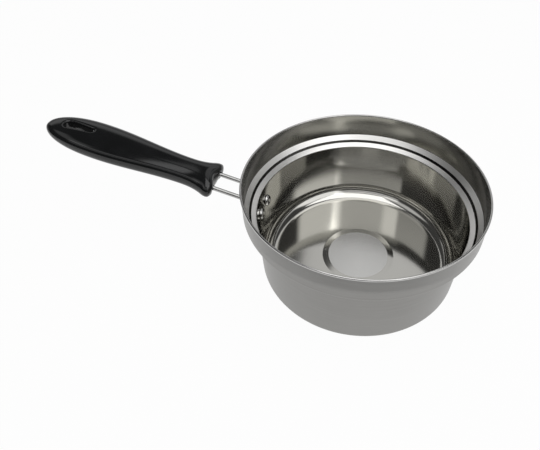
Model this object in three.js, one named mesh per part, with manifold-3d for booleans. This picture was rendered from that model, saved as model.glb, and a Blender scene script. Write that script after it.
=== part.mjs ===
// Ramen pot: a stepped, deep-drawn steel pan with a black moulded grip on two riveted steel rods.
// Millimetres, +Z up. The origin is the middle of the flat base, and the handle runs out along -X.
import * as THREE from "three";
import { mergeVertices } from "three/addons/utils/BufferGeometryUtils.js";
import Module from "manifold-3d";

const wasm = await Module();
wasm.setup();

// Shell of the pan. The collar's diameter is to the inside of the sheet, and takes the larger lid.
const COLLAR_DIAMETER = 180;
const POT_HEIGHT = 81.5;
const SHEET = 0.8;
const COLLAR_DEPTH = 20.2;
const UPPER_LEDGE = 3.8;
const UPPER_FALL = 3.9;
const STEP_LEAN = 1.2;
const STEP_DEPTH = 1.5;
const LOWER_LEDGE = 4.2;
const LOWER_FALL = 2.3;
const WALL_DRAFT = 2.9;
const CORNER_BEND = 12;
const BASE_EDGE = 4.8;
const LEDGE_BEND = 1.2;
const RIM_ROLL = 0.45;

// Relief coined into the floor
const DISC_RADIUS = 24.8;
const DISC_BAND = 5;
const DISC_LIFT = 0.4;

// Rivets
const RIVET_DROP = 13.1;
const RIVET_SHANK_RADIUS = 2;
const RIVET_HEAD_RADIUS = 4.5;
const RIVET_HEAD_HEIGHT = 2.6;
const RIVET_TAIL_RADIUS = 3.4;
const RIVET_TAIL_HEIGHT = 1.5;

// Rods
const ROD_DIAMETER = 3.5;
const ROD_SPACING = 16.9;
const ROD_BEND = 12;
const ROD_STEP_CLEARANCE = 1.06;
const EYE_RADIUS = 5;
const EYE_THICKNESS = 1.8;
const EYE_NECK = 9;

// Handle
const HANDLE_RISE = THREE.MathUtils.degToRad(14.8);
const GRIP_STANDOFF = 26.5;
const GRIP_LENGTH = 135.5;
const FRONT_WIDTH = 38.2;
const FRONT_THICKNESS = 17.6;
const NECK_AT = 25;
const NECK_WIDTH = 24.9;
const NECK_THICKNESS = 16;
const BELLY_AT = 90;
const BELLY_WIDTH = 35.2;
const BELLY_THICKNESS = 17.6;
const FRONT_EDGE = 4;
const FRONT_HOLLOW = 1.8;
const SECTION_POWER = 2.35;
const FLARE_POWER = 2.2;
const TAIL_POWER = 2.4;

// Hanging slot, wide at the tail
const SLOT_TAIL_MARGIN = 13.5;
const SLOT_LENGTH = 23;
const SLOT_TAIL_RADIUS = 4;
const SLOT_FRONT_RADIUS = 2.4;

// Socket in the grip, bridge plate, screw and washer
const SOCKET_DEPTH = 46;
const PLATE_THICKNESS = 2.4;
const PLATE_PROUD = 1.2;
const SCREW_AT = 32;
const SCREW_RADIUS = 2;
const SCREW_HEAD_RADIUS = 3.8;
const SCREW_HEAD_HEIGHT = 2.4;
const SCREW_RECESS = 1;
const SCREW_DRIVE_WIDTH = 1;
const SCREW_DRIVE_LENGTH = 5.2;
const SCREW_DRIVE_DEPTH = 1.2;
const WASHER_THICKNESS = 0.9;
const WASHER_RADIUS = 3.6;
const WASHER_SPLIT = 0.8;

// Gap left between touching pieces
const GAP = 0.3;

// Facets
const TURN_FACETS = 72;
const BEND_FACETS = 3;
const SMALL_TURN_FACETS = 28;
const ROD_STEPS = 44;
const ROD_FACETS = 12;
const GRIP_STATIONS = 34;
const GRIP_FACETS = 32;

// Sizes that follow from the ones above
const rodRadius = ROD_DIAMETER / 2;
const collarFootZ = POT_HEIGHT - COLLAR_DEPTH;
const stepTopZ = collarFootZ - UPPER_FALL;
const stepFootZ = stepTopZ - STEP_DEPTH;
const wallTopZ = stepFootZ - LOWER_FALL;
const collarRadius = COLLAR_DIAMETER / 2;
const stepTopRadius = collarRadius - UPPER_LEDGE;
const stepFootRadius = stepTopRadius - STEP_LEAN;
const wallRadius = stepFootRadius - LOWER_LEDGE;
const baseRadius = wallRadius - WALL_DRAFT;
const beadRadius = SHEET / 2 + RIM_ROLL;
const beadLean = RIM_ROLL / 2;
const beadCentre = new THREE.Vector2(collarRadius + SHEET / 2 + beadLean, POT_HEIGHT - beadRadius);
const rimRadius = beadCentre.x + beadRadius;
const rivetZ = wallTopZ - SHEET - RIVET_DROP;

// A geometry as a solid that can be joined and cut.
function solid(geometry) {
  const bare = geometry.clone();
  bare.deleteAttribute("normal");
  bare.deleteAttribute("uv");
  const merged = mergeVertices(bare, 1e-4);
  return new wasm.Manifold(
    new wasm.Mesh({
      numProp: 3,
      vertProperties: new Float32Array(merged.attributes.position.array),
      triVerts: new Uint32Array(merged.index.array),
    }),
  );
}

// The geometry of a solid.
function shapeOf(body) {
  const mesh = body.getMesh();
  return new THREE.BufferGeometry()
    .setAttribute("position", new THREE.BufferAttribute(new Float32Array(mesh.vertProperties), 3))
    .setIndex(new THREE.BufferAttribute(new Uint32Array(mesh.triVerts), 1));
}

// A solid turned about +Z from [radius, height] pairs that start and end on the axis, going up the outside.
function turned(pairs, facets = SMALL_TURN_FACETS) {
  const profile = pairs.map(([radius, height]) => new THREE.Vector2(radius, height));
  return new THREE.LatheGeometry(profile, facets).rotateX(Math.PI / 2);
}

// A round pin along +Z from one height to another.
function pin(radius, from, to) {
  return turned([
    [0, from],
    [radius, from],
    [radius, to],
    [0, to],
  ]);
}

// Points of an arc in the plane, both ends included.
function arcPoints(centre, radius, from, to, steps) {
  return Array.from({ length: steps + 1 }, (_, i) => {
    const angle = from + ((to - from) * i) / steps;
    return new THREE.Vector2(centre.x + radius * Math.cos(angle), centre.y + radius * Math.sin(angle));
  });
}

// A line through corners with each inner corner rounded to its bend radius, as points with their left-hand normals.
function bentLine(corners, bends) {
  const line = [];
  const leftOf = (way) => new THREE.Vector2(-way.y, way.x);
  corners.forEach((corner, i) => {
    const into = i > 0 ? corner.clone().sub(corners[i - 1]).normalize() : null;
    const out = i < corners.length - 1 ? corners[i + 1].clone().sub(corner).normalize() : null;
    if (!into || !out) {
      line.push({ point: corner.clone(), normal: leftOf(into ?? out) });
      return;
    }
    const turn = Math.atan2(into.cross(out), into.dot(out));
    const side = Math.sign(turn);
    const reach = bends[i] * Math.tan(Math.abs(turn) / 2);
    const start = corner.clone().addScaledVector(into, -reach);
    const centre = start.clone().addScaledVector(leftOf(into), side * bends[i]);
    for (let step = 0; step <= BEND_FACETS; step++) {
      const swing = (turn * step) / BEND_FACETS;
      const normal = leftOf(into).rotateAround(new THREE.Vector2(), swing);
      line.push({ point: centre.clone().addScaledVector(normal, -side * bends[i]), normal });
    }
  });
  return line;
}

// Inside of the sheet from the floor up to the rim: corner, wall, lower ledge, step, upper ledge and collar. The bends
// of the ledges are to the middle of the sheet, so on the inside they are wider or tighter by half a sheet.
function shellInside(cornerBend) {
  const half = SHEET / 2;
  const corners = [
    new THREE.Vector2(DISC_RADIUS + DISC_BAND, SHEET),
    new THREE.Vector2(baseRadius, SHEET),
    new THREE.Vector2(wallRadius, wallTopZ),
    new THREE.Vector2(stepFootRadius, stepFootZ),
    new THREE.Vector2(stepTopRadius, stepTopZ),
    new THREE.Vector2(collarRadius, collarFootZ),
    new THREE.Vector2(collarRadius, beadCentre.y),
  ];
  const wide = LEDGE_BEND + half;
  const tight = LEDGE_BEND - half;
  return bentLine(corners, [0, cornerBend, wide, tight, wide, tight, 0]);
}

// Place on the outside of the lower wall at the rivets' height: its radius and how much it widens per unit of height.
const wallWidening = WALL_DRAFT / (wallTopZ - SHEET);
const wallTilt = Math.atan(wallWidening);
const wallOuterRadius = wallRadius + SHEET / Math.cos(wallTilt) + wallWidening * (rivetZ - wallTopZ);
const rodAxisRadius = wallOuterRadius + GAP + rodRadius;
const rodAzimuth = Math.asin(ROD_SPACING / 2 / rodAxisRadius);

// Frame on the outside of the wall at a rivet: +Z out of the wall, +Y up along it.
function wallFrame(side) {
  const azimuth = Math.PI + side * rodAzimuth;
  const radial = new THREE.Vector3(Math.cos(azimuth), Math.sin(azimuth), 0);
  const up = new THREE.Vector3(0, 0, 1);
  const along = up.clone().multiplyScalar(Math.cos(wallTilt)).addScaledVector(radial, Math.sin(wallTilt));
  const out = radial.clone().multiplyScalar(Math.cos(wallTilt)).addScaledVector(up, -Math.sin(wallTilt));
  const place = radial.clone().multiplyScalar(wallOuterRadius).setZ(rivetZ);
  return new THREE.Matrix4().makeBasis(along.clone().cross(out), along, out).setPosition(place);
}

// Rod's route in the upright plane of its leg, as [outward, height] vectors: up the wall, round the bend, out to the grip.
const outward = new THREE.Vector2(Math.cos(HANDLE_RISE), Math.sin(HANDLE_RISE));
const handleUp = new THREE.Vector2(-outward.y, outward.x);
const wallFoot = new THREE.Vector2(rodAxisRadius * Math.cos(rodAzimuth), rivetZ);
const upWall = new THREE.Vector2(wallWidening / Math.cos(rodAzimuth), 1).normalize();
const offWall = new THREE.Vector2(upWall.y, -upWall.x);
const stepCorner = new THREE.Vector2(stepFootRadius + SHEET, wallTopZ);
const bendClearance = ROD_BEND + rodRadius + ROD_STEP_CLEARANCE;
const cornerFromFoot = stepCorner.clone().sub(wallFoot).addScaledVector(offWall, -ROD_BEND);
const cornerAlong = cornerFromFoot.dot(upWall);
const cornerAway = cornerFromFoot.dot(offWall);
const bendStart = wallFoot.clone()
  .addScaledVector(upWall, cornerAlong - Math.sqrt(bendClearance ** 2 - cornerAway ** 2));
const bendCentre = bendStart.clone().addScaledVector(offWall, ROD_BEND);
const bendEnd = bendCentre.clone().addScaledVector(handleUp, ROD_BEND);

// Frame of the handle: origin at the middle of the grip's front on the rods' plane, +X out along the grip, +Z up.
const gripReach = (rimRadius + GRIP_STANDOFF - bendEnd.x) / outward.x;
const gripFront = bendEnd.clone().addScaledVector(outward, gripReach);
const handle = new THREE.Group();
handle.position.set(-gripFront.x, 0, gripFront.y);
handle.rotation.set(0, -HANDLE_RISE, Math.PI, "ZYX");
handle.updateMatrixWorld(true);

// Circular arc in space, from a centre, two square directions and a swing.
class SpaceArc extends THREE.Curve {
  constructor(centre, first, second, radius, swing) {
    super();
    Object.assign(this, { centre, first, second, radius, swing });
  }
  getPoint(share, target = new THREE.Vector3()) {
    const angle = this.swing * share;
    return target
      .copy(this.centre)
      .addScaledVector(this.first, this.radius * Math.cos(angle))
      .addScaledVector(this.second, this.radius * Math.sin(angle));
  }
}

// Pot body: the turned shell with its floor relief and the two rivet holes. The base's outside edge is tighter than the
// corner inside, so the sheet is thicker there.
function potBody() {
  const inner = shellInside(CORNER_BEND).map(({ point }) => point);
  const outer = shellInside(BASE_EDGE - SHEET)
    .map(({ point, normal }) => point.clone().addScaledVector(normal, -SHEET))
    .reverse();
  inner.pop();
  outer.shift();
  const bead = arcPoints(
    beadCentre,
    beadRadius,
    Math.PI + Math.acos((SHEET / 2 + beadLean) / beadRadius),
    -Math.acos((SHEET / 2 - beadLean) / beadRadius),
    3 * BEND_FACETS,
  );
  const disc = [
    new THREE.Vector2(0, SHEET + DISC_LIFT),
    new THREE.Vector2(DISC_RADIUS, SHEET + DISC_LIFT),
  ];
  const profile = [...disc, ...inner, ...bead, ...outer, new THREE.Vector2(0, 0)].reverse();
  let body = solid(new THREE.LatheGeometry(profile, TURN_FACETS).rotateX(Math.PI / 2));
  for (const side of [-1, 1]) {
    const drill = pin(RIVET_SHANK_RADIUS + GAP, -2 * RIVET_HEAD_RADIUS, RIVET_HEAD_RADIUS);
    body = body.subtract(solid(drill.applyMatrix4(wallFrame(side))));
  }
  return shapeOf(body);
}

// Rivet in its wall frame: domed head inside the pan, shank through wall and eye, upset tail outside.
function rivet() {
  const hollowRise = wallRadius - Math.sqrt(wallRadius ** 2 - RIVET_HEAD_RADIUS ** 2);
  const seat = -SHEET - GAP - hollowRise;
  const tailSeat = EYE_THICKNESS + 2 * GAP;
  const quarter = Math.PI / 2;
  const dome = arcPoints(new THREE.Vector2(), 1, -quarter, 0, 2 * BEND_FACETS)
    .map(({ x, y }) => [RIVET_HEAD_RADIUS * x, seat + RIVET_HEAD_HEIGHT * y]);
  const tail = arcPoints(new THREE.Vector2(), 1, 0, quarter, BEND_FACETS)
    .map(({ x, y }) => [RIVET_TAIL_RADIUS * x, tailSeat + RIVET_TAIL_HEIGHT * y]);
  dome[0][0] = 0;
  tail[BEND_FACETS][0] = 0;
  return turned([...dome, [RIVET_SHANK_RADIUS, seat], [RIVET_SHANK_RADIUS, tailSeat], ...tail]);
}

// Eye at the rod's pot end, in its wall frame: a flat round with a neck that runs up under the rod.
function rodEye() {
  const reach = Math.acos((EYE_RADIUS - rodRadius) / EYE_NECK);
  const outline = new THREE.Shape();
  outline.absarc(0, 0, EYE_RADIUS, Math.PI / 2 + reach, Math.PI / 2 - reach, false);
  outline.absarc(0, EYE_NECK, rodRadius, Math.PI / 2 - reach, Math.PI / 2 + reach, false);
  outline.closePath();
  const plate = new THREE.ExtrudeGeometry(outline, {
    depth: EYE_THICKNESS,
    bevelEnabled: false,
    curveSegments: SMALL_TURN_FACETS / 2,
  });
  return plate.translate(0, 0, GAP);
}

// One rod: swept along its route, joined to its eye, cut back round the rivet's tail and drilled for the shank.
function handleRod(side) {
  const y = (-side * ROD_SPACING) / 2;
  const inSpace = (place) => new THREE.Vector3(-place.x, y, place.y);
  const asWay = (way) => new THREE.Vector3(-way.x, 0, way.y);
  const start = wallFoot.clone().addScaledVector(upWall, -RIVET_TAIL_RADIUS / 2);
  const innerEnd = gripFront.clone().addScaledVector(outward, SOCKET_DEPTH - GAP);
  const swing = Math.PI / 2 - HANDLE_RISE - Math.atan2(upWall.x, upWall.y);
  const route = new THREE.CurvePath();
  route.add(new THREE.LineCurve3(inSpace(start), inSpace(bendStart)));
  route.add(new SpaceArc(inSpace(bendCentre), asWay(offWall).negate(), asWay(upWall), ROD_BEND, swing));
  route.add(new THREE.LineCurve3(inSpace(bendEnd), inSpace(innerEnd)));
  const section = new THREE.Shape().absarc(0, 0, rodRadius, 0, 2 * Math.PI, false);
  const sweep = new THREE.ExtrudeGeometry(section, {
    steps: ROD_STEPS,
    curveSegments: ROD_FACETS / 2,
    extrudePath: route,
  });
  const frame = wallFrame(side);
  const eyeTop = GAP + EYE_THICKNESS;
  const room = pin(RIVET_TAIL_RADIUS + GAP, eyeTop, eyeTop + 3 * ROD_DIAMETER);
  const drill = pin(RIVET_SHANK_RADIUS + GAP, -GAP, eyeTop + GAP);
  const rod = solid(sweep)
    .add(solid(rodEye().applyMatrix4(frame)))
    .subtract(solid(room.applyMatrix4(frame)))
    .subtract(solid(drill.applyMatrix4(frame)));
  return shapeOf(rod);
}

// A smooth change from 0 to 1.
const ease = (share) => share * share * (3 - 2 * share);

// Half size of the grip at a distance from its front: flared front, neck, belly and a rounded tail.
function gripHalf(at, front, neck, belly) {
  if (at < NECK_AT) {
    return (neck + (front - neck) * (1 - at / NECK_AT) ** FLARE_POWER) / 2;
  }
  if (at < BELLY_AT) {
    return (neck + (belly - neck) * ease((at - NECK_AT) / (BELLY_AT - NECK_AT))) / 2;
  }
  const share = Math.min(1, (at - BELLY_AT) / (GRIP_LENGTH - BELLY_AT));
  return (belly / 2) * Math.sqrt(1 - share ** TAIL_POWER);
}

// Places of the grip's cross sections: close together over the front edge and the tail, with each end a point.
function gripStations() {
  const front = arcPoints(new THREE.Vector2(), 1, Math.PI, Math.PI / 2, BEND_FACETS).slice(0, -1)
    .map(({ x, y }) => ({ at: FRONT_EDGE * (1 + x) - FRONT_HOLLOW, inset: FRONT_EDGE * (1 - y) }));
  const body = Array.from({ length: GRIP_STATIONS }, (_, i) => {
    const share = Math.sin((Math.PI / 2) * (i / GRIP_STATIONS));
    const start = FRONT_EDGE - FRONT_HOLLOW;
    return { at: start + (GRIP_LENGTH - start) * share, inset: 0 };
  });
  return [...front, ...body];
}

// Skin of the grip: superelliptic sections from front to tail.
function gripSkin() {
  const stations = gripStations();
  const points = [];
  for (const { at, inset } of stations) {
    const halfWidth = gripHalf(Math.max(0, at), FRONT_WIDTH, NECK_WIDTH, BELLY_WIDTH) - inset;
    const halfThick = gripHalf(Math.max(0, at), FRONT_THICKNESS, NECK_THICKNESS, BELLY_THICKNESS) - inset;
    for (let i = 0; i < GRIP_FACETS; i++) {
      const angle = (2 * Math.PI * i) / GRIP_FACETS;
      const bulge = (value) => Math.sign(value) * Math.abs(value) ** (2 / SECTION_POWER);
      points.push(at, halfWidth * bulge(Math.cos(angle)), halfThick * bulge(Math.sin(angle)));
    }
  }
  const front = points.length / 3;
  points.push(stations[0].at, 0, 0);
  const tail = points.length / 3;
  points.push(GRIP_LENGTH, 0, 0);
  const faces = [];
  const last = (stations.length - 1) * GRIP_FACETS;
  for (let i = 0; i < GRIP_FACETS; i++) {
    const next = (i + 1) % GRIP_FACETS;
    for (let ring = 0; ring < last; ring += GRIP_FACETS) {
      faces.push(ring + i, ring + next, ring + GRIP_FACETS + i);
      faces.push(ring + next, ring + GRIP_FACETS + next, ring + GRIP_FACETS + i);
    }
    faces.push(front, next, i);
    faces.push(tail, last + i, last + next);
  }
  return new THREE.BufferGeometry()
    .setAttribute("position", new THREE.Float32BufferAttribute(points, 3))
    .setIndex(faces);
}

// Heights of the screw's seat under the plate, in the handle's frame.
const gripUnderside = -gripHalf(SCREW_AT, FRONT_THICKNESS, NECK_THICKNESS, BELLY_THICKNESS);
const headFace = gripUnderside + SCREW_RECESS;
const washerFace = headFace + SCREW_HEAD_HEIGHT + GAP;
const seatFace = washerFace + WASHER_THICKNESS + GAP;

// Outline of the tapered hanging slot along the grip.
function slotOutline() {
  const tailX = GRIP_LENGTH - SLOT_TAIL_MARGIN - SLOT_TAIL_RADIUS;
  const frontX = GRIP_LENGTH - SLOT_TAIL_MARGIN - SLOT_LENGTH + SLOT_FRONT_RADIUS;
  const lean = Math.acos((SLOT_TAIL_RADIUS - SLOT_FRONT_RADIUS) / (tailX - frontX));
  const outline = new THREE.Shape();
  outline.absarc(tailX, 0, SLOT_TAIL_RADIUS, lean - Math.PI, Math.PI - lean, false);
  outline.absarc(frontX, 0, SLOT_FRONT_RADIUS, Math.PI - lean, Math.PI + lean, false);
  outline.closePath();
  return outline;
}

// Grip: the skin hollowed at the front, with its socket, hanging slot and screw hole.
function grip() {
  const over = Math.max(FRONT_THICKNESS, BELLY_THICKNESS);
  const lobe = FRONT_WIDTH / 2 - FRONT_EDGE;
  const hollowRadius = (lobe ** 2 + FRONT_HOLLOW ** 2) / (2 * FRONT_HOLLOW);
  const hollow = turned(
    [
      [0, -over],
      [hollowRadius, -over],
      [hollowRadius, over],
      [0, over],
    ],
    4 * TURN_FACETS,
  ).translate(-hollowRadius, 0, 0);
  const socketHalf = rodRadius + GAP;
  const socket = new THREE.Shape();
  socket.absarc(ROD_SPACING / 2, 0, socketHalf, -Math.PI / 2, Math.PI / 2, false);
  socket.absarc(-ROD_SPACING / 2, 0, socketHalf, Math.PI / 2, (3 * Math.PI) / 2, false);
  socket.closePath();
  const socketCut = new THREE.ExtrudeGeometry(socket, {
    depth: SOCKET_DEPTH + 2 * FRONT_EDGE,
    bevelEnabled: false,
    curveSegments: SMALL_TURN_FACETS / 4,
  });
  const outAlong = new THREE.Matrix4().makeBasis(
    new THREE.Vector3(0, 1, 0),
    new THREE.Vector3(0, 0, 1),
    new THREE.Vector3(1, 0, 0),
  );
  socketCut.applyMatrix4(outAlong.setPosition(-2 * FRONT_EDGE, 0, 0));
  const slotCut = new THREE.ExtrudeGeometry(slotOutline(), {
    depth: 2 * over,
    bevelEnabled: false,
    curveSegments: SMALL_TURN_FACETS / 4,
  }).translate(0, 0, -over);
  const headHole = pin(SCREW_HEAD_RADIUS + GAP, -over, seatFace).translate(SCREW_AT, 0, 0);
  const shankHole = pin(SCREW_RADIUS + GAP, -over, 0).translate(SCREW_AT, 0, 0);
  const body = [hollow, socketCut, slotCut, headHole, shankHole]
    .reduce((left, cut) => left.subtract(solid(cut)), solid(gripSkin()));
  return shapeOf(body);
}

// Bridge plate between the rods, in the handle's frame, with its screw hole.
function bridgePlate() {
  const width = ROD_SPACING - ROD_DIAMETER - 2 * GAP;
  const length = SOCKET_DEPTH - GAP + PLATE_PROUD;
  const blank = new THREE.BoxGeometry(length, width, PLATE_THICKNESS).translate(length / 2 - PLATE_PROUD, 0, 0);
  const hole = pin(SCREW_RADIUS + GAP, -PLATE_THICKNESS, PLATE_THICKNESS).translate(SCREW_AT, 0, 0);
  return shapeOf(solid(blank).subtract(solid(hole)));
}

// Screw from the underside, in the handle's frame, about its own axis: slotted head, shank up through the plate.
function gripScrew() {
  const tip = PLATE_THICKNESS / 2 + (rodRadius - PLATE_THICKNESS / 2) / 2;
  const blank = turned([
    [0, headFace],
    [SCREW_HEAD_RADIUS, headFace],
    [SCREW_HEAD_RADIUS, headFace + SCREW_HEAD_HEIGHT],
    [SCREW_RADIUS, headFace + SCREW_HEAD_HEIGHT],
    [SCREW_RADIUS, tip],
    [0, tip],
  ]);
  const drive = new THREE.BoxGeometry(SCREW_DRIVE_LENGTH, SCREW_DRIVE_WIDTH, 2 * SCREW_DRIVE_DEPTH);
  return shapeOf(solid(blank).subtract(solid(drive.translate(0, 0, headFace))));
}

// Split lock washer under the screw's head, about its own axis.
function screwWasher() {
  const ring = solid(pin(WASHER_RADIUS, washerFace, washerFace + WASHER_THICKNESS));
  const hole = solid(pin(SCREW_RADIUS + GAP, washerFace - GAP, washerFace + WASHER_THICKNESS + GAP));
  const split = new THREE.BoxGeometry(2 * WASHER_RADIUS, WASHER_SPLIT, 2 * (WASHER_THICKNESS + GAP));
  return shapeOf(ring.subtract(hole).subtract(solid(split.translate(WASHER_RADIUS, 0, washerFace))));
}

const finishes = {
  satinSteel: { color: 0xb4b2af, roughness: 0.34, metalness: 1 },
  brightSteel: { color: 0xd6d6d4, roughness: 0.14, metalness: 1 },
  blackPhenolic: { color: 0x161718, roughness: 0.24, metalness: 0 },
  zincSteel: { color: 0xa6a7a4, roughness: 0.42, metalness: 1 },
};

// A named mesh with its own material, added to its group.
function place(group, name, geometry, finish) {
  const mesh = new THREE.Mesh(geometry, new THREE.MeshStandardMaterial(finishes[finish]));
  mesh.name = name;
  group.add(mesh);
  return mesh;
}

const pot = new THREE.Group();
place(pot, "pot_body", potBody(), "satinSteel");
for (const [where, side] of [["near", 1], ["far", -1]]) {
  place(pot, `handle_rod_${where}`, handleRod(side), "brightSteel");
  place(pot, `rivet_${where}`, rivet(), "brightSteel").applyMatrix4(wallFrame(side));
}
pot.add(handle);
place(handle, "grip", grip(), "blackPhenolic");
place(handle, "bridge_plate", bridgePlate(), "zincSteel");
place(handle, "grip_screw", gripScrew(), "zincSteel").position.setX(SCREW_AT);
place(handle, "screw_washer", screwWasher(), "zincSteel").position.setX(SCREW_AT);

export default pot;
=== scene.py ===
"""Dressed model of a stepped steel noodle pot with a black moulded grip on two riveted rods.

Sizes in the classes are millimetres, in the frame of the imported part: +Z up the pan's axis from the middle of
its flat base, handle out along -X. Meshes are written in metres.
"""

from __future__ import annotations

import logging
import math
from dataclasses import dataclass
from enum import Enum
from typing import Any, Sequence, Union

import bmesh
import bpy
import numpy as np
from bmesh.types import BMesh, BMVert
from bpy.types import ID, Material, Mesh, Node, NodeSocket, NodeTree, Object, World
from mathutils import Matrix, Vector


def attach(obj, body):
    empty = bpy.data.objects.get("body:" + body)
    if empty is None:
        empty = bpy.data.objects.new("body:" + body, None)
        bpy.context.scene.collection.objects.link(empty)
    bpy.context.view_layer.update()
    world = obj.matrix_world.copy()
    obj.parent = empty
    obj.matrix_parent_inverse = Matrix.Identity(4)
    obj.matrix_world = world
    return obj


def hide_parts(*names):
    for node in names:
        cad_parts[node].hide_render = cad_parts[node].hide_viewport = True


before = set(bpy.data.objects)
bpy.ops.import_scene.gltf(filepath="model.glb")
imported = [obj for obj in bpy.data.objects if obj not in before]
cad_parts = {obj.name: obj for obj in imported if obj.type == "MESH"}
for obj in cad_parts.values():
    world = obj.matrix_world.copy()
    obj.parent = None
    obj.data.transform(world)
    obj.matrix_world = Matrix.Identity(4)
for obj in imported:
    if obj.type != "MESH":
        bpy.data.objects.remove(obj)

LOG = logging.getLogger("noodle_pot")
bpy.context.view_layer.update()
MM = 0.001
WELD = 1e-5
BODY = "root"
PHOTO_WIDTH = 540
PHOTO_HEIGHT = 450
QUARTER = math.pi / 2
TURN = 2 * math.pi

Array = np.ndarray
Term = Union["Wire", float, int, Sequence[float]]
Key = Union[int, str]
Pair = tuple[float, float]
Triple = tuple[float, float, float]


class Slot(Enum):
    """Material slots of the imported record."""

    SATIN_STEEL = "satin_steel"
    BRIGHT_STEEL = "bright_steel"
    BLACK_PHENOLIC = "black_phenolic"
    PLAIN_STEEL = "plain_steel"


class Side(Enum):
    """Side of the handle's upright plane, as its sign in the part's frame."""

    NEAR = 1
    FAR = -1


class Zone(Enum):
    """Surfaces of the pan's sheet, as the index of their material."""

    INSIDE = 0
    OUTSIDE = 1
    LEDGE = 2
    DISC = 3
    COLLAR = 4
    STEP = 5
    BEAD = 6


class Wire:
    """A node's socket that takes part in Python expressions; each operator adds a Math node."""

    def __init__(self, bench: Bench, socket: NodeSocket) -> None:
        """Holds the socket and the bench whose tree it is in."""
        self.bench = bench
        self.socket = socket

    def math(self, operation: str, *others: Term) -> Wire:
        """Math node that starts from this value."""
        return self.bench.math(operation, self, *others)

    def __add__(self, other: Term) -> Wire:
        """self + other"""
        return self.bench.math("ADD", self, other)

    def __radd__(self, other: Term) -> Wire:
        """other + self"""
        return self.bench.math("ADD", other, self)

    def __sub__(self, other: Term) -> Wire:
        """self - other"""
        return self.bench.math("SUBTRACT", self, other)

    def __rsub__(self, other: Term) -> Wire:
        """other - self"""
        return self.bench.math("SUBTRACT", other, self)

    def __mul__(self, other: Term) -> Wire:
        """self * other"""
        return self.bench.math("MULTIPLY", self, other)

    def __rmul__(self, other: Term) -> Wire:
        """other * self"""
        return self.bench.math("MULTIPLY", other, self)

    def __truediv__(self, other: Term) -> Wire:
        """self / other"""
        return self.bench.math("DIVIDE", self, other)

    def __rtruediv__(self, other: Term) -> Wire:
        """other / self"""
        return self.bench.math("DIVIDE", other, self)

    def __pow__(self, other: Term) -> Wire:
        """self ** other"""
        return self.bench.math("POWER", self, other)

    def __rpow__(self, other: Term) -> Wire:
        """other ** self"""
        return self.bench.math("POWER", other, self)

    def __abs__(self) -> Wire:
        """abs(self)"""
        return self.bench.math("ABSOLUTE", self)

    def step(self, low: float, high: float) -> Wire:
        """Smooth change from 0 at low to 1 at high."""
        inputs = {"Value": self, "From Min": low, "From Max": high}
        return self.bench.node("ShaderNodeMapRange", inputs, interpolation_type="SMOOTHSTEP")


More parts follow.
